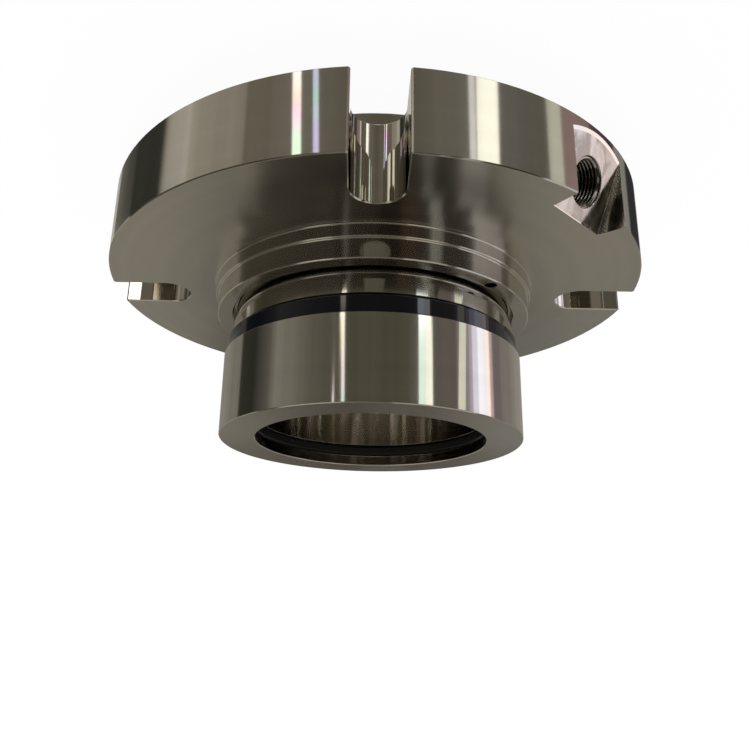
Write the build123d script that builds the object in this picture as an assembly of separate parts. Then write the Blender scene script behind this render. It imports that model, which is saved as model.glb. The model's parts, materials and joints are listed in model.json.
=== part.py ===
from build123d import *

import os
from math import cos, pi, radians, sin

# Cartridge mechanical seal for a slurry pump shaft.
# The axis is Z. Z = 0 is the gland's mounting face, which bolts against the pump.
# +Z points into the pump (the wetted side), -Z to the atmosphere side.
# The seal stands on its drive collar, with the rotating head upwards.

# ---------------------------------------------------------------- clearances
running_gap = 1.5  # stationary pieces around the turning sleeve
slide_gap = 0.3  # face holder in the gland bore
seal_gap = 0.15  # an O-ring or a loose ring beside the wall that it seals on
seat_gap = 0.1  # a ring seated in its pocket, a collar on its sleeve
pin_gap = 0.15  # a loose pin in its hole

# ------------------------------------------------- radial sizes, from the shaft
shaft_radius = 45.0
sleeve_wall = 3.5
face_width = 3.2  # stationary seal ring, wall between bore and outside
holder_lip = 2.7  # holder metal outside the stationary ring
neck_step = 1.1  # the holder's neck is this much smaller than its collar
mouth_step = 1.55  # relief at the mouth of the gland bore
spigot_wall = 6.15
register_step = 1.2  # gasket register, larger than the spigot
land_step = 0.7  # raised land around the register
gasket_width = 12.15  # room for the flat gasket, out to the bolt slots
slot_width = 18.5
rim_width = 20.5  # from the bolt circle to the gland's rim
head_wall = 2.1  # head metal outside the rotary ring's O-ring groove
ring_lip = 3.2  # rotary ring's rim, beyond the part inside the head
ring_spigot_width = 4.6
collar_wall = 13.4

# ------------------------------------------------------------- axial sizes
gland_thickness = 30.5
spigot_length = 13.0
register_length = 5.3
land_height = 0.8
mouth_depth = 3.0
chamber_depth = 8.0  # floor of the spring chamber, below the mounting face
holder_tail = 1.0  # how far the holder reaches below the mounting face
collar_standoff = 4.0  # from the spigot's end to the holder's collar
holder_collar_length = 5.9
undercut_length = 2.1  # undercut in the holder's neck, behind its collar
undercut_depth = 0.8
nose_projection = 1.1  # stationary nose in front of the holder
nose_length = 2.5
face_body_length = 8.5  # stationary seal ring behind its nose
ring_rim_length = 6.5
head_length = 32.0
ring_spigot_length = 9.5
drive_collar_gap = 1.0
drive_collar_length = 14.3
sleeve_recess = 0.5  # the sleeve ends this much inside the drive collar

# ---------------------------------------------------------------- edge breaks
rim_chamfer = 0.4
edge_chamfer = 0.4
step_chamfer = 0.3  # the gland's land and register
slot_flare = 0.7  # corners of the bolt slots at the rim
collar_chamfer = 0.8  # drive collar, outer edge
head_chamfer = 0.3
bore_lead_in = 0.8
ring_corner = 0.3  # rounding of a squeezed O-ring, as a share of its smaller side

# ------------------------------------------------------------------- O-rings
shaft_ring_land = 4.2  # bore land in front of the shaft O-ring
shaft_groove_width = 5.0
shaft_groove_depth = 4.2
holder_groove_width = 3.5
holder_groove_depth = 2.6
holder_groove_cover = 0.4  # of gland bore in front of the groove
head_groove_start = 2.7  # from the head's rear face
head_groove_width = 4.0
head_groove_depth = 2.1
static_step_width = 1.6  # thin rear part of the stationary ring
static_step_length = 3.4

# ---------------------------------------------- flush port and its passages
port_angle = 225.0
pocket_half_angle = 8.35
pocket_depth = 11.0  # inwards from the rim, at the mounting face
pocket_tilt = 21.35  # the pocket floor leans outwards by this, in degrees
port_height = 13.7  # along the pocket floor, from the mounting face
port_radius = 8.55
port_depth = 16.0
port_chamfer = 0.25
passage_radius = 3.0
flush_radius = 2.25
flush_wall = 1.05  # metal between the flush hole and the spigot's outside
pipe_floor = 2.4  # flush hole runs on this far past the cross passage

# -------------------------------------------------------- bolt slots and pins
slot_count = 4
pin_radius = 1.5
pin_length = 17.0
pin_depth = 6.0  # pressed into the gland
pin_angle = 45.0
pin_hole_depth = 6.2
drive_pin_radius = 1.5
drive_pin_depth = 4.6  # in the head
drive_pin_reach = 3.4  # in the rotary ring
drive_pin_count = 2

# --------------------------------------------------------------- wave spring
wave_count = 5
spring_width = 3.6
spring_thickness = 0.8
spring_gap_angle = 14.0  # opening in the ring, where the pin passes
spring_play = 0.16
thrust_thickness = 1.2

# ------------------------------------------------- drive collar and set screws
screw_count = 6
screw_radius = 3.95
screw_play = 0.05
screw_recess = 1.5
screw_key = 4.0  # hexagon key, across flats
screw_key_depth = 4.5
screw_point = 1.2
screw_standoff = 4.6  # screw axis above the drive collar's outer face
shaft_clear = 0.4  # screw points stop short of the shaft
tongue_groove_depth = 4.0
tongue_groove_start = 1.9

# ------------------------------------------------------------- setting clips
clip_count = 4
clip_angle = 22.5
clip_pivot_gap = 9.0  # pivot outside the drive collar
clip_radius = 8.0
tongue_width = 12.0
tongue_thickness = 3.0
tongue_play = 0.2
tongue_end_gap = 0.8
cap_screw_radius = 3.0
cap_screw_length = 18.0
cap_head_radius = 5.0
cap_head_height = 6.0
cap_key = 5.0
cap_key_depth = 3.0
cap_hole_depth = 13.5

# ---------------------------------------------------------- derived places
sleeve_radius = shaft_radius + sleeve_wall
face_bore = sleeve_radius + running_gap
face_radius = face_bore + face_width
holder_pocket = face_radius + seat_gap
holder_radius = holder_pocket + holder_lip
neck_radius = holder_radius - neck_step
gland_bore = neck_radius + slide_gap
mouth_radius = gland_bore + mouth_step
spigot_radius = mouth_radius + spigot_wall
register_radius = spigot_radius + register_step
land_radius = register_radius + land_step
bolt_circle = register_radius + gasket_width + slot_width / 2
gland_radius = bolt_circle + rim_width

ring_spigot_radius = face_bore + ring_spigot_width
ring_radius = ring_spigot_radius + ring_lip
head_bore = ring_spigot_radius + seat_gap
head_radius = head_bore + head_groove_depth + head_wall
drive_collar_bore = sleeve_radius + seat_gap
drive_collar_radius = drive_collar_bore + collar_wall

holder_shoulder = spigot_length + collar_standoff
holder_front = holder_shoulder + holder_collar_length
face_plane = holder_front + nose_projection
head_rear = face_plane + ring_rim_length
head_front = head_rear + head_length
head_floor = head_rear + ring_spigot_length + seat_gap
static_rear = face_plane - nose_length - face_body_length
holder_groove_end = spigot_length - mouth_depth - holder_groove_cover
holder_groove_start = holder_groove_end - holder_groove_width
gland_back = -gland_thickness
drive_collar_top = gland_back - drive_collar_gap
drive_collar_bottom = drive_collar_top - drive_collar_length
sleeve_bottom = drive_collar_bottom + sleeve_recess
spring_radius = (face_bore + gland_bore) / 2
flush_circle = spigot_radius - flush_wall - flush_radius
clip_pivot = drive_collar_radius + clip_pivot_gap


def turned(*outline):
    """One turned piece: its closed outline of (radius, z) points, revolved about Z."""
    points = [(radius, 0, z) for radius, z in outline]
    return revolve(make_face(Polyline(*points, close=True)), Axis.Z)


def drilled(radius, start, end):
    """A straight round hole or pin between two points."""
    axis = Vector(*end) - Vector(*start)
    plane = Plane(origin=start, z_dir=axis)
    return extrude(plane * Circle(radius), axis.length)


def polar(radius, angle, z):
    """A point at a radius and an angle in degrees."""
    return (radius * cos(radians(angle)), radius * sin(radians(angle)), z)


def spaced(count, first=0.0):
    """Angles of evenly spaced pieces."""
    return [first + 360.0 * index / count for index in range(count)]


def squeezed_ring(inner, outer, low, high):
    """An O-ring squeezed in its groove: flat where it bears, rounded between."""
    corner = ring_corner * min(outer - inner, high - low)
    return turned(
        (inner + corner, low),
        (outer - corner, low),
        (outer, low + corner),
        (outer, high - corner),
        (outer - corner, high),
        (inner + corner, high),
        (inner, high - corner),
        (inner, low + corner),
    )


def pocket_point(height, depth=0.0):
    """A point on the flush pocket's centre line: height up its floor, depth below it."""
    lean = radians(pocket_tilt)
    radius = gland_radius - pocket_depth + height * sin(lean) - depth * cos(lean)
    z = -height * cos(lean) - depth * sin(lean)
    return polar(radius, port_angle, z)


def pocket_cutter():
    """The flush pocket: a wedge between two radial walls, down to a leaning floor."""
    reach = gland_radius * 1.2
    low, high = port_angle - pocket_half_angle, port_angle + pocket_half_angle
    plan = Polyline((0, 0, 0), polar(reach, low, 0), polar(reach, high, 0), close=True)
    wedge = extrude(make_face(plan), gland_thickness, both=True)
    lean = radians(pocket_tilt)
    normal = polar(cos(lean), port_angle, sin(lean))
    floor = Plane(origin=pocket_point(0.0), z_dir=normal)
    inside = extrude(floor * Rectangle(3 * reach, 3 * reach), -2 * reach)
    return wedge - inside


def gland_plate():
    """Flange and spigot in one turned piece, with its slots, port and holes."""
    plate = turned(
        (face_bore, gland_back),
        (gland_radius - rim_chamfer, gland_back),
        (gland_radius, gland_back + rim_chamfer),
        (gland_radius, -rim_chamfer),
        (gland_radius - rim_chamfer, 0),
        (land_radius, 0),
        (land_radius, land_height - step_chamfer),
        (land_radius - step_chamfer, land_height),
        (register_radius, land_height),
        (register_radius, register_length - step_chamfer),
        (register_radius - step_chamfer, register_length),
        (spigot_radius + step_chamfer, register_length),
        (spigot_radius, register_length + step_chamfer),
        (spigot_radius, spigot_length - edge_chamfer),
        (spigot_radius - edge_chamfer, spigot_length),
        (mouth_radius + edge_chamfer, spigot_length),
        (mouth_radius, spigot_length - edge_chamfer),
        (mouth_radius, spigot_length - mouth_depth),
        (gland_bore, spigot_length - mouth_depth),
        (gland_bore, -chamber_depth),
        (face_bore, -chamber_depth),
    )
    plate -= bolt_slots()
    plate -= pocket_cutter()
    plate -= flush_passages()
    plate -= drilled(
        pin_radius,
        polar(spring_radius, pin_angle, -chamber_depth),
        polar(spring_radius, pin_angle, -chamber_depth - pin_depth),
    )
    for angle in spaced(clip_count, clip_angle):
        plate -= drilled(
            cap_screw_radius + screw_play,
            polar(clip_pivot, angle, gland_back),
            polar(clip_pivot, angle, gland_back + cap_hole_depth),
        )
    return plate


def bolt_slots():
    """Open-ended bolt slots with round ends, flared at the rim and lightly chamfered."""
    reach = gland_radius * 1.1
    half = slot_width / 2
    corner = (gland_radius**2 - half**2) ** 0.5 - bolt_circle
    near, far, wide_end = corner - slot_flare, corner + slot_flare, half + 2 * slot_flare
    flare = make_face(Polyline((near, -half), (far, -wide_end), (far, wide_end), (near, half), close=True))
    slots = []
    for angle in spaced(slot_count):
        centre = Plane(origin=polar(bolt_circle, angle, 0), x_dir=polar(1, angle, 0), z_dir=(0, 0, 1))
        length = reach - bolt_circle
        outline = Circle(half) + Pos(length / 2, 0) * Rectangle(length, slot_width) + flare
        wide = offset(outline, edge_chamfer)
        slots.append(extrude(centre * outline, gland_thickness * 1.1, both=True))
        for face_z, taper in ((0.0, -1), (gland_back, 1)):
            mouth = centre * (Pos(0, 0, face_z) * wide)
            slots.append(extrude(mouth, taper * edge_chamfer, taper=45))
    return slots


def flush_passages():
    """Threaded port (thread left plain), cross passage and the hole in the spigot's end."""
    mouth = pocket_point(port_height)
    bottom = pocket_point(port_height, port_depth)
    cross_z = bottom[2]
    lead = Plane(origin=mouth, z_dir=Vector(*mouth) - Vector(*bottom))
    port = extrude(lead * Circle(port_radius), -port_depth)
    port += extrude(lead * Circle(port_radius + port_chamfer), -port_chamfer, taper=45)
    cross_start = polar(Vector(*bottom).X / cos(radians(port_angle)), port_angle, cross_z)
    cross = drilled(passage_radius, cross_start, polar(flush_circle, port_angle, cross_z))
    flush = drilled(
        flush_radius,
        polar(flush_circle, port_angle, spigot_length),
        polar(flush_circle, port_angle, cross_z - pipe_floor),
    )
    return [port, cross, flush]


def shaft_sleeve():
    """Sleeve and rotating head in one piece, with its two O-ring grooves."""
    groove_end = head_front - shaft_ring_land
    groove_start = groove_end - shaft_groove_width
    ring_groove = head_rear + head_groove_start
    sleeve = turned(
        (shaft_radius + bore_lead_in, sleeve_bottom),
        (sleeve_radius - edge_chamfer, sleeve_bottom),
        (sleeve_radius, sleeve_bottom + edge_chamfer),
        (sleeve_radius, head_floor),
        (head_bore, head_floor),
        (head_bore, ring_groove + head_groove_width),
        (head_bore + head_groove_depth, ring_groove + head_groove_width),
        (head_bore + head_groove_depth, ring_groove),
        (head_bore, ring_groove),
        (head_bore, head_rear),
        (head_radius - edge_chamfer, head_rear),
        (head_radius, head_rear + edge_chamfer),
        (head_radius, head_front - head_chamfer),
        (head_radius - head_chamfer, head_front),
        (shaft_radius + head_chamfer, head_front),
        (shaft_radius, head_front - head_chamfer),
        (shaft_radius, groove_end),
        (shaft_radius + shaft_groove_depth, groove_end),
        (shaft_radius + shaft_groove_depth, groove_start),
        (shaft_radius, groove_start),
        (shaft_radius, sleeve_bottom + bore_lead_in),
    )
    for angle in spaced(drive_pin_count):
        sleeve -= drilled(
            drive_pin_radius,
            polar(drive_pin_circle(), angle, head_floor),
            polar(drive_pin_circle(), angle, head_floor + drive_pin_depth),
        )
    for angle in spaced(screw_count):
        sleeve -= drilled(
            screw_radius + 5 * screw_play,
            polar(shaft_radius - sleeve_wall, angle, screw_height()),
            polar(sleeve_radius + sleeve_wall, angle, screw_height()),
        )
    return sleeve


def drive_pin_circle():
    """The drive pins sit in the middle of the rotary ring's wall."""
    return (face_bore + ring_spigot_radius) / 2


def screw_height():
    """Height of the set screws' axes."""
    return drive_collar_bottom + screw_standoff


def rotary_face():
    """Rotating seal ring: a rim outside the head and a plain part inside it."""
    rear = head_rear + ring_spigot_length
    ring = turned(
        (face_bore, face_plane),
        (ring_radius - edge_chamfer, face_plane),
        (ring_radius, face_plane + edge_chamfer),
        (ring_radius, head_rear - edge_chamfer),
        (ring_radius - edge_chamfer, head_rear),
        (ring_spigot_radius, head_rear),
        (ring_spigot_radius, rear),
        (face_bore, rear),
    )
    for angle in spaced(drive_pin_count):
        ring -= drilled(
            drive_pin_radius + pin_gap,
            polar(drive_pin_circle(), angle, rear),
            polar(drive_pin_circle(), angle, rear - drive_pin_reach - seat_gap),
        )
    return ring


def drive_pin(angle):
    """Dowel between the head and the rotary ring."""
    return drilled(
        drive_pin_radius,
        polar(drive_pin_circle(), angle, head_floor + drive_pin_depth),
        polar(drive_pin_circle(), angle, head_floor - drive_pin_reach),
    )


def stationary_face():
    """Stationary seal ring: a narrow raised nose, and a thinner rear part."""
    nose_start = face_plane - nose_length
    nose_margin = face_width / 8
    step_end = static_rear + static_step_length
    return turned(
        (face_bore, static_rear),
        (face_bore + static_step_width, static_rear),
        (face_bore + static_step_width, step_end),
        (face_radius, step_end),
        (face_radius, nose_start),
        (face_radius - nose_margin, nose_start),
        (face_radius - nose_margin, face_plane),
        (face_bore + nose_margin, face_plane),
        (face_bore + nose_margin, nose_start),
        (face_bore, nose_start),
    )


def face_holder():
    """Steel holder of the stationary ring, which floats in the gland bore."""
    holder = turned(
        (face_bore, -holder_tail),
        (neck_radius - edge_chamfer, -holder_tail),
        (neck_radius, edge_chamfer - holder_tail),
        (neck_radius, holder_groove_start),
        (neck_radius - holder_groove_depth, holder_groove_start),
        (neck_radius - holder_groove_depth, holder_groove_end),
        (neck_radius, holder_groove_end),
        (neck_radius, holder_shoulder - undercut_length - step_chamfer),
        (neck_radius - step_chamfer, holder_shoulder - undercut_length),
        (neck_radius - undercut_depth, holder_shoulder - undercut_length),
        (neck_radius - undercut_depth, holder_shoulder),
        (holder_radius - edge_chamfer, holder_shoulder),
        (holder_radius, holder_shoulder + edge_chamfer),
        (holder_radius, holder_front - head_chamfer),
        (holder_radius - head_chamfer, holder_front),
        (holder_pocket, holder_front),
        (holder_pocket, static_rear),
        (face_bore, static_rear),
    )
    return holder - drilled(
        pin_radius + pin_gap,
        polar(spring_radius, pin_angle, -holder_tail),
        polar(spring_radius, pin_angle, pin_hole_depth - holder_tail),
    )


def thrust_ring():
    """Flat ring that spreads the spring's load under the holder."""
    ring = turned(
        (face_bore + slide_gap, -holder_tail - thrust_thickness),
        (neck_radius - slide_gap, -holder_tail - thrust_thickness),
        (neck_radius - slide_gap, -holder_tail),
        (face_bore + slide_gap, -holder_tail),
    )
    return ring - drilled(
        pin_radius + pin_gap,
        polar(spring_radius, pin_angle, -holder_tail - thrust_thickness),
        polar(spring_radius, pin_angle, -holder_tail),
    )


def wave_spring():
    """Single-turn wave spring of flat wire, open at the anti-rotation pin."""
    low = -chamber_depth + spring_play
    high = -holder_tail - thrust_thickness - spring_play
    middle = (low + high) / 2
    swing = (high - low - spring_thickness) / 2 - spring_play
    sweep_angle = 360.0 - spring_gap_angle
    steps = 12 * wave_count
    route = []
    for step in range(steps + 1):
        share = step / steps
        angle = pin_angle + spring_gap_angle / 2 + sweep_angle * share
        route.append(polar(spring_radius, angle, middle + swing * cos(2 * pi * wave_count * share)))
    path = Spline(*route)
    start = Plane(origin=path @ 0, x_dir=polar(1, pin_angle + spring_gap_angle / 2, 0), z_dir=path % 0)
    return sweep(start * Rectangle(spring_width, spring_thickness), path=path)


def anti_rotation_pin():
    """Dowel pressed into the gland, which keeps the holder from turning."""
    bottom = -chamber_depth - pin_depth
    return drilled(
        pin_radius,
        polar(spring_radius, pin_angle, bottom),
        polar(spring_radius, pin_angle, bottom + pin_length),
    )


def drive_collar():
    """Collar that locks the sleeve to the shaft, with a groove for the clips' tongues."""
    groove_top = drive_collar_top - tongue_groove_start
    groove_bottom = groove_top - tongue_thickness - 2 * tongue_play
    collar = turned(
        (drive_collar_bore, drive_collar_bottom),
        (drive_collar_radius - collar_chamfer, drive_collar_bottom),
        (drive_collar_radius, drive_collar_bottom + collar_chamfer),
        (drive_collar_radius, groove_bottom),
        (drive_collar_radius - tongue_groove_depth, groove_bottom),
        (drive_collar_radius - tongue_groove_depth, groove_top),
        (drive_collar_radius, groove_top),
        (drive_collar_radius, drive_collar_top - edge_chamfer),
        (drive_collar_radius - edge_chamfer, drive_collar_top),
        (drive_collar_bore, drive_collar_top),
    )
    for angle in spaced(screw_count):
        collar -= drilled(
            screw_radius + screw_play,
            polar(shaft_radius, angle, screw_height()),
            polar(drive_collar_radius * 1.1, angle, screw_height()),
        )
    return collar


def hex_key(across_flats):
    """Outline of a hexagon key, by its size across flats."""
    return RegularPolygon(across_flats / (2 * cos(pi / 6)), 6)


def set_screw(angle):
    """Socket set screw, with a pointed tip that stops short of the shaft."""
    inner = polar(shaft_radius + shaft_clear + screw_point, angle, screw_height())
    outer = polar(drive_collar_radius - screw_recess, angle, screw_height())
    body = drilled(screw_radius, inner, outer)
    point_plane = Plane(origin=inner, z_dir=polar(-1, angle, 0))
    point = extrude(point_plane * Circle(screw_radius), screw_point, taper=45)
    key_plane = Plane(origin=outer, z_dir=polar(-1, angle, 0))
    return body + point - extrude(key_plane * hex_key(screw_key), screw_key_depth)


def setting_clip(angle):
    """Keyhole-shaped clip: a foot around its screw and a tongue in the collar's groove."""
    tongue_top = drive_collar_top - tongue_groove_start - tongue_play
    tongue_bottom = tongue_top - tongue_thickness
    reach = clip_pivot_gap + tongue_groove_depth - tongue_end_gap
    pivot = Plane(origin=polar(clip_pivot, angle, tongue_bottom), x_dir=polar(-1, angle, 0), z_dir=(0, 0, 1))
    foot = extrude(pivot * Circle(clip_radius), gland_back - tongue_bottom)
    bar = (Pos(reach / 2, 0) * Rectangle(reach, tongue_width)) & Circle(reach)
    tongue = extrude(pivot * bar, tongue_thickness)
    hole = extrude(pivot * Circle(cap_screw_radius + 2 * pin_gap), gland_back - tongue_bottom)
    return foot + tongue - hole


def clip_screw(angle):
    """Socket head cap screw that holds a clip on the gland."""
    under_head = drive_collar_top - tongue_groove_start - tongue_play - tongue_thickness
    top = Plane(origin=polar(clip_pivot, angle, under_head), z_dir=(0, 0, 1))
    shank = extrude(top * Circle(cap_screw_radius), cap_screw_length)
    head = extrude(top * Circle(cap_head_radius), -cap_head_height)
    head = chamfer(head.faces().sort_by(Axis.Z)[0].edges(), edge_chamfer)
    key = Plane(origin=polar(clip_pivot, angle, under_head - cap_head_height), z_dir=(0, 0, 1))
    return shank + head - extrude(key * hex_key(cap_key), cap_key_depth)


def o_rings():
    """The four rubber rings, each squeezed between its groove and the part it seals on."""
    shaft_groove_end = head_front - shaft_ring_land
    ring_groove = head_rear + head_groove_start
    return {
        "shaft_o_ring": squeezed_ring(
            shaft_radius + seal_gap,
            shaft_radius + shaft_groove_depth,
            shaft_groove_end - shaft_groove_width + seal_gap,
            shaft_groove_end - seal_gap,
        ),
        "rotary_face_o_ring": squeezed_ring(
            ring_spigot_radius,
            head_bore + head_groove_depth,
            ring_groove + seal_gap,
            ring_groove + head_groove_width - seal_gap,
        ),
        "stationary_face_o_ring": squeezed_ring(
            face_bore + static_step_width,
            holder_pocket,
            static_rear + seal_gap,
            static_rear + static_step_length - seal_gap,
        ),
        "holder_o_ring": squeezed_ring(
            neck_radius - holder_groove_depth,
            gland_bore - seal_gap,
            holder_groove_start + seal_gap,
            holder_groove_end - seal_gap,
        ),
    }


def group(make, angles):
    """Like fasteners that share one node, as separate solids."""
    return Compound(children=[make(angle).solid() for angle in angles])


def all_pieces():
    """Every piece of the seal, by its node name."""
    pieces = {
        "gland_plate": gland_plate(),
        "shaft_sleeve": shaft_sleeve(),
        "rotary_face": rotary_face(),
        "stationary_face": stationary_face(),
        "face_holder": face_holder(),
        "thrust_ring": thrust_ring(),
        "wave_spring": wave_spring(),
        "anti_rotation_pin": anti_rotation_pin(),
        "drive_collar": drive_collar(),
    }
    pieces.update(o_rings())
    pieces["drive_pins"] = group(drive_pin, spaced(drive_pin_count))
    pieces["set_screws"] = group(set_screw, spaced(screw_count))
    pieces["clip_screws"] = group(clip_screw, spaced(clip_count, clip_angle))
    for number, angle in enumerate(spaced(clip_count, clip_angle), 1):
        pieces[f"setting_clip_{number}"] = setting_clip(angle)
    return pieces


os.makedirs("parts", exist_ok=True)
for name, piece in all_pieces().items():
    export_step(piece, f"parts/{name}.step")
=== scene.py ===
# %% [markdown]
# A cartridge mechanical seal closes the gap where a slurry pump's shaft leaves its casing.
# This lesson dresses the finished solids of such a seal: it gives each piece the surface
# that its metal, ceramic or rubber has, cuts the thread of the flush port, and sets up a
# small studio around the part. The solids keep their shapes and places.

# %% The part's solids
import json
import math

import bmesh
import bpy
from mathutils import Matrix, Vector


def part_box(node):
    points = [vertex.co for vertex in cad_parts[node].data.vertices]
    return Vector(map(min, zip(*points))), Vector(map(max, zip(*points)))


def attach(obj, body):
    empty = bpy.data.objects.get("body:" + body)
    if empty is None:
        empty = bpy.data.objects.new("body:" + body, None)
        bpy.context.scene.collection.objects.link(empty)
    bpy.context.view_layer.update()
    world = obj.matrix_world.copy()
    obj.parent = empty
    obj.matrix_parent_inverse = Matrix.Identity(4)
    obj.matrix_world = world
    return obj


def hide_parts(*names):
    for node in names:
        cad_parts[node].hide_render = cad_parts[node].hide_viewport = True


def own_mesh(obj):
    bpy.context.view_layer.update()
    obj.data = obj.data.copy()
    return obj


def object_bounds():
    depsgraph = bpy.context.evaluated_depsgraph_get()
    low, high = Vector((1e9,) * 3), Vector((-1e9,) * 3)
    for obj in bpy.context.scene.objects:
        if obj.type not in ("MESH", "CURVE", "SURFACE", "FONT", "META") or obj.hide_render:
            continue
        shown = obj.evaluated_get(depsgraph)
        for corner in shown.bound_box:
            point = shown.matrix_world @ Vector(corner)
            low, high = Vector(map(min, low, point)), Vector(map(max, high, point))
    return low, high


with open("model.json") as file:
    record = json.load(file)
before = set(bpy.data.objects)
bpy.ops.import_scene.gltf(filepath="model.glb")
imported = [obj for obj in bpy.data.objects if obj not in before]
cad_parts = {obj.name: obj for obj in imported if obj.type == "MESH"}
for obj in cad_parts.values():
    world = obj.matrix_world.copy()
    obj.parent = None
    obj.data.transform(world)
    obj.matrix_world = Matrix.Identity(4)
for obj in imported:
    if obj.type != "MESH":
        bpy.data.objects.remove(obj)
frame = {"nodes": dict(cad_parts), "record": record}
nodes = frame["nodes"]
cad_low, cad_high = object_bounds()
floor_z = cad_low.z
MM = 0.001
print(len(nodes), "pieces, standing at", round(floor_z / MM, 1), "mm")

# %% Sizes that the record and the solids give
mounts = {mount["name"]: mount for mount in frame["record"]["mounts"]}
bore_radius = mounts["shaft_bore"]["dims"]["r_mm"]
port_radius = mounts["flush_port"]["dims"]["r_mm"]
port_axis = Vector(mounts["flush_port"]["axis"]).normalized()
gland_low, gland_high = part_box("gland_plate")
print("bore", 2 * bore_radius, "mm, port", 2 * port_radius, "mm across")

# %% [markdown]
# ## Two helpers
# Colours are written as sRGB hex values, as a paint chart gives them, and shaders work in
# linear light, so one function turns one into the other. The other helper adds a shader
# node with its settings and its links in one call, which keeps each material short.


# %% Colours and nodes
def linear(code):
    """A hex colour as the linear RGBA that shaders expect."""
    parts = [int(code[i : i + 2], 16) / 255 for i in (1, 3, 5)]
    steps = [c / 12.92 if c <= 0.04045 else ((c + 0.055) / 1.055) ** 2.4 for c in parts]
    return tuple(steps) + (1.0,)


def add(tree, kind, props=None, values=None, links=None):
    """One shader node: its properties, its socket values and what is linked into it."""
    made = tree.nodes.new("ShaderNode" + kind)
    for name, value in (props or {}).items():
        setattr(made, name, value)
    for name, value in (values or {}).items():
        made.inputs[name].default_value = value
    for name, socket in (links or {}).items():
        tree.links.new(socket, made.inputs[name])
    return made


# A mix node has its sockets by number: its share, then two numbers or two colours.
SHARE, FIRST, SECOND, FIRST_COLOUR, SECOND_COLOUR = 0, 2, 3, 6, 7
MIXED, MIXED_COLOUR = 0, 2
WHITE = (1.0, 1.0, 1.0, 1.0)
print("steel grey is", [round(c, 3) for c in linear("#c4bfb2")])

# %% [markdown]
# ## The camera
# The seal stands on its drive collar, with the rotating head up. The camera looks down on
# it from the wetted side and is turned upside down about its line of sight, so that the
# picture shows the seal as it hangs when it is carried to the pump, flange above head. A
# camera can be made to track an empty, but then its roll is lost, so its place is followed
# here by three plain turns: left or right, down, and over.

# %% Camera
FILM_WIDTH = 36.0
LENS = 38.14
CAMERA_PLACE = Vector((0.00427, -0.30556, 0.13194))
CAMERA_YAW, CAMERA_DOWN, CAMERA_ROLL = -0.68, 18.62, 181.37
CAMERA_SHIFT = (0.0308, -0.0177)
NEAREST_SEEN = 0.01

camera_data = bpy.data.cameras.new("camera")
camera_data.sensor_width = FILM_WIDTH
camera_data.lens = LENS
camera_data.shift_x, camera_data.shift_y = CAMERA_SHIFT
camera_data.clip_start = NEAREST_SEEN
camera = bpy.data.objects.new("camera", camera_data)
bpy.context.scene.collection.objects.link(camera)
turn = Matrix.Rotation(math.radians(CAMERA_YAW), 4, "Z")
tip = Matrix.Rotation(math.radians(90 - CAMERA_DOWN), 4, "X")
roll = Matrix.Rotation(math.radians(CAMERA_ROLL), 4, "Z")
camera.matrix_world = Matrix.Translation(CAMERA_PLACE) @ turn @ tip @ roll
bpy.context.scene.camera = camera
print("camera stands", round(CAMERA_PLACE.length / MM), "mm from the mounting face's centre")

# %% [markdown]
# ## The studio
# Polished steel has no colour of its own to speak of: it shows what stands around it. A
# product studio therefore hangs dark and pale cards around the part, just outside the view,
# and builds the reflections with them. Here every card is a curved panel more than a metre
# away. Only reflections see it. Where no card hangs, the steel shows the white background,
# as the camera does. The same background lights the part evenly. A picture of a room could
# be wrapped round the scene instead, but then no single band could be moved or dimmed.

# %% World
WORLD_GREY = (0.84, 0.84, 0.84, 1.0)  # what lights the part, a little less than white


def white_when_seen(tree, plain, target):
    """White for camera, glossy and transmission rays, and the plain value for all others."""
    path = add(tree, "LightPath")
    mirrored = add(tree, "Math", {"operation": "MAXIMUM"}, None,
                   {0: path.outputs["Is Camera Ray"], 1: path.outputs["Is Glossy Ray"]})
    seen = add(tree, "Math", {"operation": "MAXIMUM"}, None,
               {0: mirrored.outputs[0], 1: path.outputs["Is Transmission Ray"]})
    mix = add(tree, "Mix", {"data_type": "RGBA"}, {FIRST_COLOUR: plain, SECOND_COLOUR: WHITE},
              {SHARE: seen.outputs[0]})
    tree.links.new(mix.outputs[MIXED_COLOUR], target)


world = bpy.data.worlds.new("studio")
world.use_nodes = True
world.node_tree.nodes.clear()
background = add(world.node_tree, "Background")
add(world.node_tree, "OutputWorld", None, None, {"Surface": background.outputs[0]})
white_when_seen(world.node_tree, WORLD_GREY, background.inputs["Color"])
bpy.context.scene.world = world
print("world grey", WORLD_GREY[0])

# %% [markdown]
# ## The floor and the lamp
# A studio floor is a white sheet that runs away behind the part. A curved sweep would hide
# its far edge. Here the world is as white as the floor, so a flat one has no edge to hide. It
# glows a little, so that it stays white without more light on the part, and the rest of it
# takes the part's shadow. One wide lamp gives the part a side that is a little lighter.

# %% Floor
FLOOR_HALF = 6.0
FLOOR_GLOW = 0.96  # share of the floor's white that no shadow darkens
FLOOR_PAINT = (0.9, 0.9, 0.9, 1.0)

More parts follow.
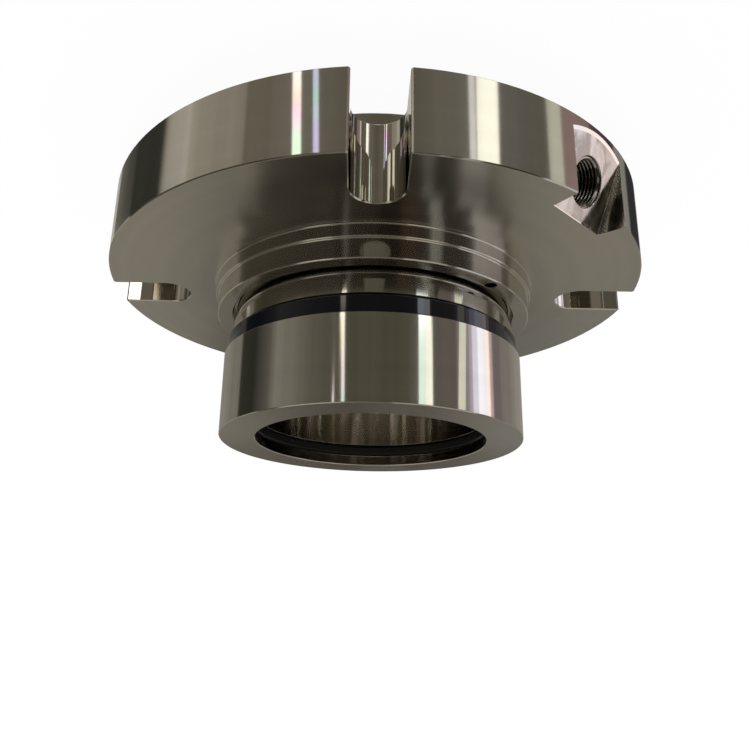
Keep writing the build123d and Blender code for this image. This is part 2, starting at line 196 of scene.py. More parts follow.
corner_sides = ((-1, -1), (1, -1), (1, 1), (-1, 1))
floor_corners = [(x * FLOOR_HALF, y * FLOOR_HALF, floor_z) for x, y in corner_sides]
floor_mesh = bpy.data.meshes.new("floor")
floor_mesh.from_pydata(floor_corners, [], [(0, 1, 2, 3)])
floor = bpy.data.objects.new("floor", floor_mesh)
bpy.context.scene.collection.objects.link(floor)
floor_paint = bpy.data.materials.new("floor_white")
floor_paint.use_nodes = True
floor_tree = floor_paint.node_tree
floor_tree.nodes.clear()
floor_shade = add(floor_tree, "BsdfDiffuse")
floor_light = add(floor_tree, "Emission")
floor_mix = add(floor_tree, "MixShader", None, {0: FLOOR_GLOW},
                {1: floor_shade.outputs[0], 2: floor_light.outputs[0]})
add(floor_tree, "OutputMaterial", None, None, {"Surface": floor_mix.outputs[0]})
white_when_seen(floor_tree, FLOOR_PAINT, floor_shade.inputs["Color"])
floor_mesh.materials.append(floor_paint)
floor.visible_glossy = False  # so near the part, it would bend the bands that the cards draw
print("floor at", round(floor_z / MM, 1), "mm")

# %% One soft lamp
LAMP_POWER = 0.6
LAMP_WIDTH = 70  # degrees across, so its shadows have no edge
LAMP_TILT = (-22, 12)

lamp_data = bpy.data.lights.new("soft_lamp", "SUN")
lamp_data.energy = LAMP_POWER
lamp_data.angle = math.radians(LAMP_WIDTH)
lamp = bpy.data.objects.new("soft_lamp", lamp_data)
lamp.rotation_euler = (math.radians(LAMP_TILT[0]), math.radians(LAMP_TILT[1]), 0)
lamp.visible_glossy = False
bpy.context.scene.collection.objects.link(lamp)
print("lamp of", lamp_data.energy)

# %% [markdown]
# ## Reflection cards
# A card is placed by the bearing of its sides and the elevation of its edges, seen from the
# part. Bearing 0 is the camera's side, and right in the picture is positive. The upright
# walls of the head mirror cards a little below the horizon, the rim mirrors lower ones, and
# the flat faces mirror cards above the horizon at the back. Each row below goes once round.
# A card runs from one tint to another, so neighbours meet without a step where the steel
# shows none. The narrow bright cards are strip lights, which lean as they do in a workshop.
# Area lamps would draw the same bands, but they would light the rubber and the floor as
# well. A glowing mesh that only reflections see leaves the light alone.

# %% Card rows
# Each row: its lower and upper edge, then its places. Each place: left side, right side, and
# the tint at either side. All sides and edges are in degrees.
CARD_DISTANCE = 1.3
STRIP_DISTANCE = 1.25
OPEN = None  # no card: the white background shows

HEAD_ROW = (-25.0, 8.0, [
    (-180, -136, "#928e87", "#928e87"), (-136, -114.5, "#8f8d85", "#88867e"),
    (-114.5, -112, "#88867e", "#3b3b34"), (-112, -95, "#3b3b34", "#36362f"),
    (-95, -90, "#3c3b36", "#4c4a45"), (-90, -80, "#4c4a45", "#66635c"),
    (-80, -73, "#66635c", "#98948b"), (-73, -50, "#96928a", "#78746a"),
    (-50, -31, "#78746a", "#625e54"), (-31, 25, "#605c50", "#5c594d"),
    (25, 32.4, "#605c50", "#76716b"), (32.4, 62.5, "#69665f", "#736d68"),
    (62.5, 72, "#8c7d80", "#aa9ca4"), (72, 98, "#aa9ca4", "#a39c9c"),
    (98, 108, "#857e80", "#7c7677"), (108, 146, "#8d8884", "#a09b92"),
    (146, 176, "#a09b92", "#9a968f"), (176, 180, OPEN, OPEN),
])
RIM_ROW = (-62.0, -25.0, [
    (-180, -141, "#c6c2b8", "#b8b4aa"), (-141, -119, "#6a6860", "#4a4a44"),
    (-119, -97, "#393a34", "#3a3b36"), (-97, -94, "#3a3b36", "#aaa292"),
    (-94, -80, "#b1aaa0", "#c2bcb2"), (-80, -53, "#b0a99d", "#969085"),
    (-53, -33, "#787264", "#827c73"), (-33, 0, "#807b71", "#69645a"),
    (0, 35.8, "#645f52", "#7c7870"), (35.8, 38.4, OPEN, OPEN),
    (38.4, 71, "#777370", "#6d6960"), (71, 78.5, "#d3d2c5", "#d8d8ca"),
    (78.5, 96, "#98827e", "#9c8682"), (96, 116, "#5a5354", "#3d3b3b"),
    (116, 128.5, "#9a9992", "#8c8b84"), (128.5, 147, "#2f3032", "#333434"),
    (147, 176, "#8a877d", "#9b978e"), (176, 180, OPEN, OPEN),
])
END_ROW = (8.0, 21.0, [
    (-180, -165, "#68655e", "#807c73"), (-165, -110, "#98948b", "#a8a49b"),
    (-110, 110, "#48443c", "#48443c"), (110, 165, "#96928a", "#868682"),
    (165, 180, "#86847e", "#68655e"),
])
FACE_ROW = (21.0, 50.0, [
    (-180, -172, "#34312a", "#45413a"), (-172, -160, "#45423a", "#98948a"),
    (-160, -110, "#9a968c", "#a6a298"), (-110, -62, "#605c52", "#4e4a42"),
    (-62, -50, "#4c4840", "#423e37"), (-50, -30, "#46423b", "#47433c"),
    (-30, -21.5, "#38342e", "#322e28"), (-21.5, -18, "#7a7a7a", "#7a7a7a"),
    (-18, 3, "#3e392e", "#2b271f"), (3, 18, "#0c0804", "#0c0804"),
    (18, 30, "#43302a", "#4a3830"), (30, 39, "#34302b", "#3c3832"),
    (39, 48, "#b8bcba", "#a6aaa8"), (48, 73, "#3c3832", "#46423c"),
    (73, 103, "#d8d6d8", "#d2d0d2"), (103, 112, "#77736d", "#7c786e"),
    (112, 160, "#a29e94", "#949086"), (160, 172, "#98948a", "#45423a"),
    (172, 180, "#45413a", "#34312a"),
])
TOP_ROW = (50.0, 76.0, [
    (-180, -140, "#8f8b81", "#a8a398"), (-140, -40, "#c4bfb4", "#c4bfb4"),
    (-40, 30, "#827e74", "#6f6b62"), (30, 140, "#c4bfb4", "#b5b0a5"),
    (140, 180, "#a8a398", "#8f8b81"),
])
LID_ROW = (76.0, 89.9, [(-180, 180, "#a8a398", "#a8a398")])
LOW_ROW = (-86.0, -62.0, [(-180, 180, "#b5b0a5", "#b5b0a5")])
CARD_ROWS = (HEAD_ROW, RIM_ROW, END_ROW, FACE_ROW, TOP_ROW, LID_ROW, LOW_ROW)
print(sum(len(row[2]) for row in CARD_ROWS), "places for cards")

# %% Strip lights
# Left and right side at the upper edge, lower and upper edge, tint, power, and how far the
# lower edge leans to the right.
STRIPS = [
    (-23.9, -20.1, -24.6, -20.4, "#fff6f0", 3.0, -1.0),
    (-22.9, -19.8, -20.4, -17.6, "#f6f4d0", 1.9, -0.7),
    (-21.9, -19.5, -17.6, -15.4, "#fff6f6", 1.8, -0.5),
    (-21.4, -19.2, -15.4, -13.4, "#ffdeee", 1.8, -0.3),
    (-21.1, -19.0, -13.4, -12.4, "#e0e6ff", 1.8, -0.2),
    (-21.0, -18.9, -12.4, 4.0, "#c4f5e4", 1.8, 0.0),
    (-27.6, -26.2, -12.5, 4.0, "#fff0f6", 2.4, 0.0),
    (32.4, 37.6, -19.4, 4.0, "#e8fbf2", 1.55, 0.4),
    (37.6, 42.7, -19.4, 4.0, "#fffff6", 1.7, 0.4),
    (32.8, 37.8, -25.0, -19.4, "#eef6ff", 3.4, 0.2),
    (37.8, 42.2, -25.0, -19.4, "#fffff6", 2.6, 0.2),
    (38.4, 47.6, -40.0, -26.0, "#fffef3", 1.75, 0.8),
    (62.0, 68.2, -25.0, -8.0, "#f4f6e6", 1.2, 5.0),
    (73.6, 76.6, -26.0, 6.0, "#c8bed0", 1.0, 0.0),
    (76.6, 82.0, -26.0, 6.0, "#e4e2f6", 1.4, 0.0),
    (82.0, 89.4, -26.0, 6.0, "#f0f0ff", 1.75, 0.0),
    (89.4, 94.5, -26.0, 6.0, "#fff0f0", 1.8, 0.0),
    (94.5, 98.0, -26.0, 6.0, "#d8bcbc", 1.1, 0.0),
    (-140.0, -117.0, -25.5, -20.5, "#cecabf", 1.0, 0.0),
]
# Fine turning marks split the light of two strips into colours: each tint's lower edge, from
# the lowest up. The last number is where the next tint would start.
SPLIT_STRIPS = [
    (-33.7, -30.2, 2.2,
     ["#f2ecff", "#dcffee", "#ffdf90", "#ff9fe0", "#ead9ff", "#a8f0b0", "#e4ffe8"],
     [-40.0, -36.6, -35.6, -34.6, -33.4, -32.2, -31.0, -27.0]),
    (-25.2, -23.0, 1.5, ["#d8d4ff", "#a6f0c6", "#dcd2ff"], [-40.0, -35.6, -34.0, -27.0]),
]
SPLIT_LEAN = -0.22  # degrees to the left for each degree down
for left, right, power, split_tints, edges in SPLIT_STRIPS:
    for low_edge, high_edge, split_tint in zip(edges, edges[1:], split_tints):
        moved = SPLIT_LEAN * (edges[1] - high_edge)
        STRIPS.append((left + moved, right + moved, low_edge, high_edge, split_tint, power,
                       SPLIT_LEAN * (high_edge - low_edge)))
print(len(STRIPS), "strip lights")

# %% Hanging the cards
COLUMN_STEP = 0.7  # degrees from one column of a card's grid to the next
ROW_STEP = 6
# How much, how fast along the bearing and from where each wave of the ripple runs.
RIPPLE_WAVES = ((0.045, 0.23, 2.0), (0.03, 0.61, 0.0), (0.02, 1.37, 1.0))


def place_at(bearing, elevation, distance):
    """A point that far from the part, by its bearing and elevation in degrees."""
    side, up = math.radians(bearing), math.radians(elevation)
    level = distance * math.cos(up)
    return Vector((-math.sin(side) * level, -math.cos(side) * level, distance * math.sin(up)))


def room_ripple(bearing):
    """A small change of tone from place to place, as the things in a room make."""
    return 1 + sum(size * math.sin(rate * bearing + start) for size, rate, start in RIPPLE_WAVES)


def hang(shell, tint_layer, distance, sides, edges, tints, power=1.0, lean=0.0):
    """One curved card: a grid of faces, tinted from its left side to its right side."""
    left, right = sides
    low, high = edges
    columns = max(1, math.ceil((right - left) / COLUMN_STEP))
    rows = max(1, math.ceil((high - low) / ROW_STEP))
    first, last = [Vector(linear(tint)) * power for tint in tints]
    grid = []
    for row in range(rows + 1):
        share = row / rows
        line = []
        for column in range(columns + 1):
            across = column / columns
            bearing = left + (right - left) * across + lean * (1 - share)
            point = shell.verts.new(place_at(bearing, low + (high - low) * share, distance))
            point[tint_layer] = first.lerp(last, across) * room_ripple(bearing)
            line.append(point)
        grid.append(line)
    for lower, upper in zip(grid, grid[1:]):
        for column in range(columns):
            shell.faces.new((lower[column], lower[column + 1], upper[column + 1], upper[column]))


card_shell = bmesh.new()
tint_layer = card_shell.verts.layers.float_color.new("tint")
for low_edge, high_edge, places in CARD_ROWS:
    for left, right, left_tint, right_tint in places:
        if left_tint is not OPEN:
            hang(card_shell, tint_layer, CARD_DISTANCE, (left, right), (low_edge, high_edge),
                 (left_tint, right_tint))
for left, right, low_edge, high_edge, strip_tint, power, lean in STRIPS:
    hang(card_shell, tint_layer, STRIP_DISTANCE, (left, right), (low_edge, high_edge),
         (strip_tint, strip_tint), power, lean)
card_mesh = bpy.data.meshes.new("reflection_cards")
card_shell.to_mesh(card_mesh)
card_shell.free()
print(len(card_mesh.polygons), "faces, none nearer than", STRIP_DISTANCE, "m")

# %% The cards' glow
card_light = bpy.data.materials.new("reflection_cards")
card_light.use_nodes = True
card_light.cycles.emission_sampling = "NONE"
card_tree = card_light.node_tree
card_tree.nodes.clear()
card_tint = add(card_tree, "Attribute", {"attribute_name": "tint"})
card_glow = add(card_tree, "Emission", None, None, {"Color": card_tint.outputs["Color"]})
add(card_tree, "OutputMaterial", None, None, {"Surface": card_glow.outputs[0]})
card_mesh.materials.append(card_light)
cards = bpy.data.objects.new("reflection_cards", card_mesh)
bpy.context.scene.collection.objects.link(cards)
for ray in ("camera", "diffuse", "transmission", "volume_scatter", "shadow"):
    setattr(cards, "visible_" + ray, False)
print("only reflections see", cards.name)

# %% [markdown]
# ## Turned stainless steel
# The flange, the head and the holder come off a lathe: their tool marks are fine rings
# about the axis. That gives the eye two things: faint rings, and highlights that are drawn
# out across them. Grooves could be cut into the mesh, at the cost of a great many faces, or
# painted on it, which needs the part unwrapped. Here the rings are a noise that only knows
# the distance from the axis and the height, so they fit every turned face without either.
# The shader's anisotropy, with its tangent round the axis, draws out the highlights.


# %% Places on the steel
def lathe_coordinates(tree):
    """The plain point, its distance from the axis, its height, and those two as a vector."""
    point = add(tree, "TexCoord").outputs["Object"]
    flat = add(tree, "VectorMath", {"operation": "MULTIPLY"}, {1: (1.0, 1.0, 0.0)}, {0: point})
    length = add(tree, "VectorMath", {"operation": "LENGTH"}, None, {0: flat.outputs[0]})
    radius = length.outputs["Value"]
    height = add(tree, "SeparateXYZ", None, None, {0: point}).outputs["Z"]
    pair = add(tree, "CombineXYZ", None, None, {"X": radius, "Y": height})
    return point, radius, height, pair.outputs[0]


def zone_mask(tree, limits):
    """1 where every value lies between its own two limits in mm, and 0 elsewhere."""
    mask = None
    for value, low, high in limits:
        span = {1: (low + high) / 2 * MM, 2: (high - low) / 2 * MM}
        inside = add(tree, "Math", {"operation": "COMPARE"}, span, {0: value}).outputs[0]
        if mask is None:
            mask = inside
        else:
            both = add(tree, "Math", {"operation": "MULTIPLY"}, None, {0: mask, 1: inside})
            mask = both.outputs[0]
    return mask


print("zones are given in mm")

# %% [markdown]
# ## Milled slots and pocket
# A cutter, not a lathe, made the slots and the flush pocket. Their walls have no rings. The
# pocket's wall keeps the marks of the passes, darkened as a whole as painted shade, with one
# lighter band across it that is a painted highlight, and its leaning floor has soft blotches.
# These faces could have a material of their own, but they belong to one solid, so the
# flange's material finds them by where they lie.

# %% Milled walls
PATCH_SIZE = 7 * MM  # the soft blotches on the pocket's floor
PATCH_STRETCH = (1.0, 1.0, 0.35)
PATCH_TURN = (0.5, 0.4, 0.0)
PASS_WIDTH = 0.9 * MM  # from one cutter pass to the next; real ones are finer than shows
WAVE_WIDTH = 0.36  # how wide one diagonal band of the wave pattern is at scale 1
pocket_way = Vector((port_axis.x, port_axis.y, 0.0)).normalized()  # from the axis to the port
POCKET_REACH = (80, 110)  # mm that way, where the pocket starts and ends
FLOOR_LEANS = (0.1, 0.3)  # how far the pocket's floor faces up, against none for its wall
SLOT_ROUGHNESS = 0.045
WALL_ROUGHNESS = 0.12
FLOOR_ROUGHNESS = (0.1, 0.34)
PATCH_SPREAD = (0.35, 0.65)  # the part of the noise between the smoothest and roughest patch
WORN_SPREAD = (0.42, 0.6)
WORN_TONES = (0.4, 1.05)
# The pocket wall's tone follows the cutter passes and is darkened as a whole: real pass lines, with
# painted shade.
LINE_SPREAD = (0.3, 0.8)
SHADED_PASS_TONES = (0.5, 0.8)
# The lighter band on the pocket's wall is a painted highlight: a brighter base colour between two
# places along a tilted way.
HIGHLIGHT_TILT = math.radians(14)
highlight_way = pocket_way * math.cos(HIGHLIGHT_TILT) + Vector((0.0, 0.0, math.sin(HIGHLIGHT_TILT)))
HIGHLIGHT_REACH = (95.0, 97.1)  # mm that way
HIGHLIGHT_RAGGED = 1.6 * MM
HIGHLIGHT_TONE = 1.7
NO_MARK = 0.5  # the middle height of a bump, where nothing stands out


def milled_steel(tree, point, upright, is_milled, in_pocket, turned):
    """Tone, roughness and bump height of turned steel, with the milled places worked in: painted
    shade and a painted highlight band on the pocket's wall.
    """
    tone, grain, marks = turned
    swirl = add(tree, "Mapping", None, {"Scale": PATCH_STRETCH, "Rotation": PATCH_TURN}, {0: point})
    patches = add(tree, "TexNoise", None,
                  {"Scale": 1 / PATCH_SIZE, "Detail": 3.0, "Distortion": 0.6},
                  {"Vector": swirl.outputs[0]}).outputs["Fac"]
    passes = add(tree, "TexWave", {"wave_type": "BANDS", "bands_direction": "DIAGONAL"},
                 {"Scale": WAVE_WIDTH / PASS_WIDTH, "Distortion": 3.0, "Detail": 3.0,
                  "Detail Scale": 2.0}, {"Vector": point}).outputs["Fac"]
    spread = [
        (upright, FLOOR_LEANS, (0.0, 1.0)),
        (patches, PATCH_SPREAD, FLOOR_ROUGHNESS),
        (patches, WORN_SPREAD, WORN_TONES),
        (passes, LINE_SPREAD, SHADED_PASS_TONES),
    ]
    leaning, floor_rough, pocket_tones, shaded_pass_lines = [
        add(tree, "MapRange", None,
            {"From Min": start[0], "From Max": start[1], "To Min": end[0], "To Max": end[1]},
            {"Value": value}).outputs["Result"]
        for value, start, end in spread
    ]
    # The lighter band along the pocket's wall is a painted highlight.
    along_wall = add(tree, "VectorMath", {"operation": "DOT_PRODUCT"}, {1: highlight_way}, {0: point})
    ragged = add(tree, "Math", {"operation": "MULTIPLY_ADD"}, {1: HIGHLIGHT_RAGGED},
                 {0: passes, 2: along_wall.outputs["Value"]}).outputs[0]
    painted_highlight = zone_mask(tree, [(ragged, *HIGHLIGHT_REACH)])

    cutter = add(tree, "Mix", None, {FIRST: WALL_ROUGHNESS}, {SHARE: leaning, SECOND: floor_rough})
    cutter = add(tree, "Mix", None, {FIRST: SLOT_ROUGHNESS},
                 {SHARE: in_pocket, SECOND: cutter.outputs[MIXED]})
    grain = add(tree, "Mix", None, None,
                {SHARE: is_milled, FIRST: grain, SECOND: cutter.outputs[MIXED]})

    cut_marks = add(tree, "Mix", None, {SECOND: NO_MARK}, {SHARE: leaning, FIRST: passes})
    cut_marks = add(tree, "Mix", None, {FIRST: NO_MARK},
                    {SHARE: in_pocket, SECOND: cut_marks.outputs[MIXED]})
    marks = add(tree, "Mix", None, None,
                {SHARE: is_milled, FIRST: marks, SECOND: cut_marks.outputs[MIXED]})

    # On the pocket's wall: pass lines darkened as painted shade, and the painted highlight band.
    highlighted_wall = add(tree, "Mix", None, {SECOND: HIGHLIGHT_TONE}, {SHARE: painted_highlight, FIRST: shaded_pass_lines})
    pocket_tones = add(tree, "Mix", None, None,
               {SHARE: leaning, FIRST: highlighted_wall.outputs[MIXED], SECOND: pocket_tones})
    pocket_tone_scale = add(tree, "Mix", None, {FIRST: 1.0}, {SHARE: in_pocket, SECOND: pocket_tones.outputs[MIXED]})
    tone = add(tree, "VectorMath", {"operation": "SCALE"}, None,
               {0: tone, "Scale": pocket_tone_scale.outputs[MIXED]})
    return tone.outputs[0], grain.outputs[MIXED], marks.outputs[MIXED]


print("cutter passes", round(PASS_WIDTH / MM, 1), "mm apart")

# %% Turned steel
RING_PITCH = 0.7 * MM  # real feed marks are about 0.15 mm, too fine to show, so drawn coarser
WIDE_PITCH = 6 * MM  # slow change of tone, where the tool wore or dwelt
WIDE_TONES = (0.94, 1.05)
SMUDGE_SIZE = 35.7 * MM  # where hands and rags have been
SMUDGE_ROUGHNESS = (0.8, 1.2)
FLAT_FROM, FLAT_TO = 0.8, 0.95  # how far a face looks along the axis before it counts as flat
BORE_LIGHT_COLOUR = "#d8d4cb"
RING_DEPTH = 0.02 * MM
RING_STRENGTH = 0.12
EDGE_BREAK = 0.2 * MM


def turned_steel(name, colour, roughness, flat_roughness, painted_light_to=None, milled_zone=None):
    """Stainless steel with fine rings about the axis, duller on flat faces than on round ones.

    Out to the radius painted_light_to, the bore is painted lighter than the rest: painted light
    that makes up for the light the floor keeps out of it. A milled zone has no rings, and its
    pocket shows the cutter's marks, painted shade and a painted highlight band: its inner and
    outer radius, then its lowest and highest place. All of these are in mm.
    """
    made = bpy.data.materials.new(name)
    made.use_nodes = True
    tree = made.node_tree
    tree.nodes.clear()
    point, radius, height, lathe = lathe_coordinates(tree)
    rings = add(tree, "TexNoise", {"noise_dimensions": "2D"},
                {"Scale": 1 / RING_PITCH, "Detail": 2.0, "Roughness": 0.6}, {"Vector": lathe})
    wide_rings = add(tree, "TexNoise", {"noise_dimensions": "2D"},
                     {"Scale": 1 / WIDE_PITCH, "Detail": 1.0}, {"Vector": lathe})
    smudge = add(tree, "TexNoise", None,
                 {"Scale": 1 / SMUDGE_SIZE, "Detail": 4.0, "Roughness": 0.6}, {"Vector": point})
    darker, lighter = [
        tuple(c * share for c in linear(colour)[:3]) + (1.0,) for share in WIDE_TONES
    ]
    tone = add(tree, "Mix", {"data_type": "RGBA"},
               {FIRST_COLOUR: darker, SECOND_COLOUR: lighter},
               {SHARE: wide_rings.outputs["Fac"]}).outputs[MIXED_COLOUR]
    normal = add(tree, "TexCoord").outputs["Normal"]
    facing = add(tree, "SeparateXYZ", None, None, {0: normal}).outputs["Z"]
    upright = add(tree, "Math", {"operation": "ABSOLUTE"}, None, {0: facing}).outputs[0]
    dull = add(tree, "MapRange", None,
               {"From Min": FLAT_FROM, "From Max": FLAT_TO,
                "To Min": roughness, "To Max": flat_roughness}, {"Value": upright})
    uneven = add(tree, "MapRange", None,
                 {"To Min": SMUDGE_ROUGHNESS[0], "To Max": SMUDGE_ROUGHNESS[1]},
                 {"Value": smudge.outputs["Fac"]})
    grain = add(tree, "Math", {"operation": "MULTIPLY"}, None,
                {0: dull.outputs["Result"], 1: uneven.outputs["Result"]}).outputs[0]
    marks = rings.outputs["Fac"]
    if painted_light_to:
        in_lit_bore = zone_mask(tree, [(radius, 0.0, painted_light_to)])
        # The bore's paler colour is painted light, for the light that the floor keeps out of it.
        tone = add(tree, "Mix", {"data_type": "RGBA"}, {SECOND_COLOUR: linear(BORE_LIGHT_COLOUR)},
                   {SHARE: in_lit_bore, FIRST_COLOUR: tone}).outputs[MIXED_COLOUR]
    if milled_zone:
        inner, outer, low, high = milled_zone
        across = add(tree, "VectorMath", {"operation": "DOT_PRODUCT"}, {1: pocket_way}, {0: point})
        limits = [(radius, inner, outer), (height, low, high)]
        is_milled = zone_mask(tree, limits)
        in_pocket = zone_mask(tree, limits + [(across.outputs["Value"], *POCKET_REACH)])
        tone, grain, marks = milled_steel(tree, point, upright, is_milled, in_pocket,
                                          (tone, grain, marks))
    edges = add(tree, "Bevel", {"samples": 4}, {"Radius": EDGE_BREAK})
    bump = add(tree, "Bump", None, {"Strength": RING_STRENGTH, "Distance": RING_DEPTH},
               {"Height": marks, "Normal": edges.outputs[0]})
    around = add(tree, "Tangent", {"direction_type": "RADIAL", "axis": "Z"})
    shader = add(tree, "BsdfPrincipled", None,
                 {"Metallic": 1.0, "Anisotropic": 0.85, "Anisotropic Rotation": 0.25},
                 {"Base Color": tone, "Roughness": grain, "Normal": bump.outputs[0],
                  "Tangent": around.outputs[0]})
    add(tree, "OutputMaterial", None, None, {"Surface": shader.outputs[0]})
    return made


print("rings", round(RING_PITCH / MM, 1), "mm apart")

# %% The seal's steels
SLOTS_FROM = 66.5  # mm from the axis, just inside the slots' round ends
RIM_SKIN = 0.04  # mm that the milled zone stays inside the rim
FACE_SKIN = 0.3  # and inside the flange's two faces; the front one lies at height 0
BORE_SKIN = 0.2  # mm that the paler zone of painted light reaches past the bore

# Polished after turning: sharp bands round the rim, and a wider sheen on the flat faces.
milled_zone = (SLOTS_FROM, gland_high[0] / MM - RIM_SKIN, gland_low[2] / MM + FACE_SKIN, -FACE_SKIN)
flange_steel = turned_steel("turned_316_flange", "#c9c5bc", 0.085, 0.2, milled_zone=milled_zone)
# The same, with a flatter end, and a bore painted an even, paler grey: painted light that makes up
# for the light the floor keeps out of it.
head_steel = turned_steel("turned_316_head", "#c9c5bc", 0.095, 0.26,
                          painted_light_to=bore_radius + BORE_SKIN)
# The holder and the thrust ring show through gaps only: a clean glint deep inside.
ring_steel = turned_steel("turned_316_holder", "#c5c2b8", 0.09, 0.18)
# The collar was left as turned, so its highlights are wide and soft.
collar_steel = turned_steel("turned_316_collar", "#c2beb3", 0.18, 0.3)
# A tapped thread deep in the port: its darker colour is painted shade, and its crests catch small
# broken glints.
shaded_thread_steel = turned_steel("tapped_316_shaded", "#8a867d", 0.12, 0.2)
print("steel:", flange_steel.name, head_steel.name, ring_steel.name, collar_steel.name)

# %% [markdown]
# ## Ceramic, carbon, rubber and hardware
# The rotating face is lapped silicon carbide, nearly black, with a faint, sharp gloss. Its
# partner is carbon, which is duller. The O-rings are black moulded rubber. The screws are
# black oxide steel, the clips and pins plain steel. Each could have a material built from
# nothing, but they differ only in numbers, so one function makes them all. Their grain is
# finer than shows, so their specks are drawn from about one to three millimetres wide.

# %% Plain finishes
SPECK_DEPTH = 0.05 * MM


def plain_finish(name, dark, light, roughness, spread, speck, metallic=0.0, ior=1.5, depth=0.0):
    """Two close colours in specks that many mm wide, uneven roughness and, if wanted, a bump."""
    made = bpy.data.materials.new(name)
    made.use_nodes = True
    tree = made.node_tree
    tree.nodes.clear()
    point = add(tree, "TexCoord").outputs["Object"]
    specks = add(tree, "TexNoise", None,
                 {"Scale": 1 / (speck * MM), "Detail": 4.0, "Roughness": 0.6},
                 {"Vector": point}).outputs["Fac"]
    tone = add(tree, "Mix", {"data_type": "RGBA"},
               {FIRST_COLOUR: linear(dark), SECOND_COLOUR: linear(light)}, {SHARE: specks})
    grain = add(tree, "MapRange", None,
                {"To Min": roughness - spread, "To Max": roughness + spread}, {"Value": specks})
    values = {"Metallic": metallic}
    if metallic == 0.0:
        values["IOR"] = ior
    links = {"Base Color": tone.outputs[MIXED_COLOUR], "Roughness": grain.outputs["Result"]}
    if depth:
        bump = add(tree, "Bump", None, {"Strength": depth, "Distance": SPECK_DEPTH},
                   {"Height": specks})
        links["Normal"] = bump.outputs[0]
    shader = add(tree, "BsdfPrincipled", None, values, links)
    add(tree, "OutputMaterial", None, None, {"Surface": shader.outputs[0]})
    return made


# Lapped flat and smooth: one faint, sharp gloss on near black. Silicon carbide's own index is
# 2.65, but the ring mirrors the room so faintly that 1.5 fits.
carbide = plain_finish("lapped_silicon_carbide", "#03060c", "#060912", 0.06, 0.02, 1.11, ior=1.5)
# Carbon filled with resin: an even, soft sheen, like pencil lead.
carbon = plain_finish("impregnated_carbon", "#1d1e20", "#28292b", 0.35, 0.06, 0.83, ior=1.8)
# Moulded rubber: dull, with the fine unevenness of its mould.
rubber = plain_finish("moulded_fkm_rubber", "#0c0d0f", "#16171a", 0.42, 0.08, 1.43,
                      ior=1.52, depth=0.2)
# Screws blackened in a salt bath: a dark metal that still glints at its edges.
black_oxide = plain_finish("black_oxide_steel", "#3b3b3d", "#4b4a4a", 0.34, 0.08, 2.0,
                           metallic=1.0, depth=0.1)
# Strip and pins as rolled or drawn: pale grey and slightly milky.
plain_steel = plain_finish("rolled_steel_strip", "#a8a49b", "#b9b5ab", 0.28, 0.06, 3.33,
                           metallic=1.0, depth=0.1)
print("finishes:", carbide.name, carbon.name, rubber.name, black_oxide.name, plain_steel.name)

# %% [markdown]
# ## Dressing the solids
# Every piece of the seal gets one of the finishes above. They could be set piece by piece,
# but a table shows at a glance what each piece is made of. The clips, the pins and the
# spring aren't in it, and get plain steel.

# %% A finish for every solid
finishes = {
    "gland_plate": flange_steel, "shaft_sleeve": head_steel, "face_holder": ring_steel,
    "drive_collar": collar_steel, "thrust_ring": ring_steel, "rotary_face": carbide,
    "stationary_face": carbon, "shaft_o_ring": rubber, "rotary_face_o_ring": rubber,
    "stationary_face_o_ring": rubber, "holder_o_ring": rubber, "set_screws": black_oxide,
    "clip_screws": black_oxide,
}
for name, solid in nodes.items():
    solid.data.materials.clear()
    solid.data.materials.append(finishes.get(name, plain_steel))
print("dressed", len(nodes), "solids")

# %% [markdown]
# ## The flush port's thread
# A taper tap cut the port, so its wall is a V thread of 18 turns to the inch. The solid has
# a plain wall at the thread's roots. A sleeve of crests lies on that wall: its inner side is
# a grid in angle and depth, and each point's radius follows the V at its place along the
# helix, so one formula makes every turn. A Screw modifier could wind the V too, but its ends
# stay open and need closing by hand, and the grid closes itself.

# %% Port thread
THREAD_PITCH = 25.4 / 18 * MM
THREAD_DEPTH = 0.95 * MM
THREAD_RUN = 14.2 * MM
THREAD_START = 0.7 * MM
THREAD_SIDES = 72
THREAD_ROWS_PER_TURN = 10
FLANK_HEIGHT = 1.25  # of the V before its crest is cut off at 1
ROOT_CUT = 0.12
WALL_GAP = 0.03 * MM
MOUTH_AHEAD = 2.0 * MM  # from the port's stated place out to its mouth

port_mouth = Vector(mounts["flush_port"]["pos_m"]) + MOUTH_AHEAD * port_axis
root_radius = port_radius * MM - WALL_GAP


def v_thread(turns):
    """How far the wall stands in at a place along the helix, from 0 at a root to 1 at a crest."""
    phase = turns % 1.0
    return min(1.0, max(0.0, FLANK_HEIGHT * (1.0 - abs(2.0 * phase - 1.0)) - ROOT_CUT))


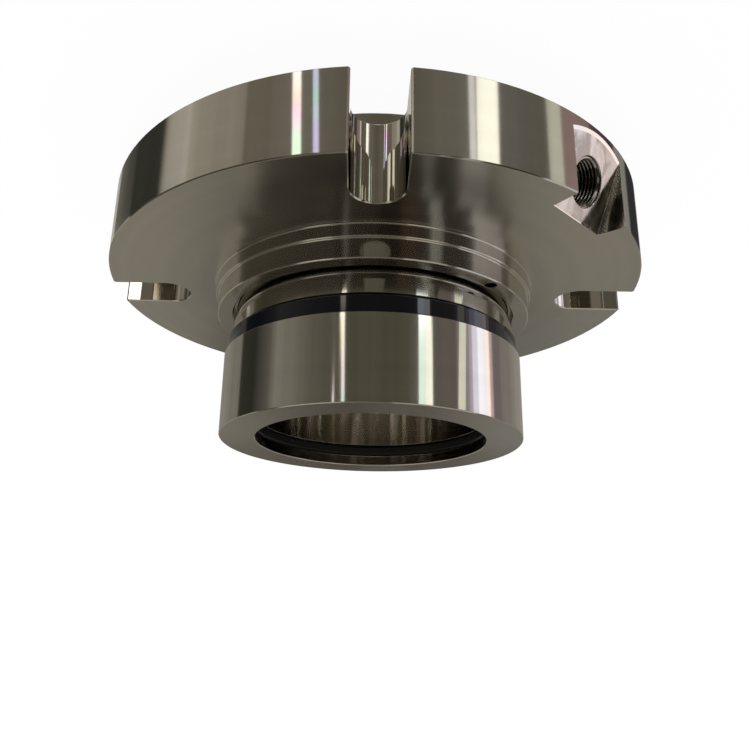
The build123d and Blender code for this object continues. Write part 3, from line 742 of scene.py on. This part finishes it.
def port_thread_mesh():
    """Sleeve with threads on its inner side, along +Z from its mouth at zero downwards."""
    rows = int(THREAD_RUN / THREAD_PITCH * THREAD_ROWS_PER_TURN)
    angles = [2 * math.pi * side / THREAD_SIDES for side in range(THREAD_SIDES)]
    shell = bmesh.new()
    grid = []
    for row in range(rows + 1):
        z = -THREAD_START - THREAD_RUN * row / rows
        ring = []
        for side, angle in enumerate(angles):
            crest = v_thread(z / THREAD_PITCH - side / THREAD_SIDES)
            radius = root_radius - THREAD_DEPTH * crest
            ring.append(shell.verts.new((radius * math.cos(angle), radius * math.sin(angle), z)))
        grid.append(ring)
    outer = root_radius + WALL_GAP / 2
    for z in (-THREAD_START - THREAD_RUN, -THREAD_START):
        grid.append([shell.verts.new((outer * math.cos(a), outer * math.sin(a), z))
                     for a in angles])
    for low, high in zip(grid, grid[1:] + grid[:1]):
        for i in range(THREAD_SIDES):
            j = (i + 1) % THREAD_SIDES
            shell.faces.new((low[i], low[j], high[j], high[i]))
    bmesh.ops.recalc_face_normals(shell, faces=shell.faces)
    made = bpy.data.meshes.new("port_thread")
    shell.to_mesh(made)
    shell.free()
    made.transform(port_axis.to_track_quat("Z", "Y").to_matrix().to_4x4())
    made.transform(Matrix.Translation(port_mouth))
    return made


port_thread = bpy.data.objects.new("port_thread", port_thread_mesh())
bpy.context.scene.collection.objects.link(port_thread)
port_thread.data.materials.append(shaded_thread_steel)
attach(port_thread, "gland")
print(round(THREAD_RUN / THREAD_PITCH, 1), "turns,", len(port_thread.data.polygons), "faces")

# %% [markdown]
# ## The wave spring
# The spring is a waved strip of steel that pushes the floating face forward. When the face
# comes back, its waves flatten, and the solid spring can't. Shape keys could bend each wave,
# but all that shows is that the strip gets lower. So a copy with a mesh of its own stands in
# its place, and keeps the spring's shape.

# %% Wave spring
soft_spring = bpy.data.objects.new("flexing_wave_spring", nodes["wave_spring"].data.copy())
bpy.context.scene.collection.objects.link(soft_spring)
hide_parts("wave_spring")
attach(soft_spring, "gland")
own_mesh(soft_spring)

# %% [markdown]
# ## Last lines
# The picture keeps its colours as they are written, with the plain Standard view transform.

# %% The end
bpy.context.scene.view_settings.view_transform = "Standard"
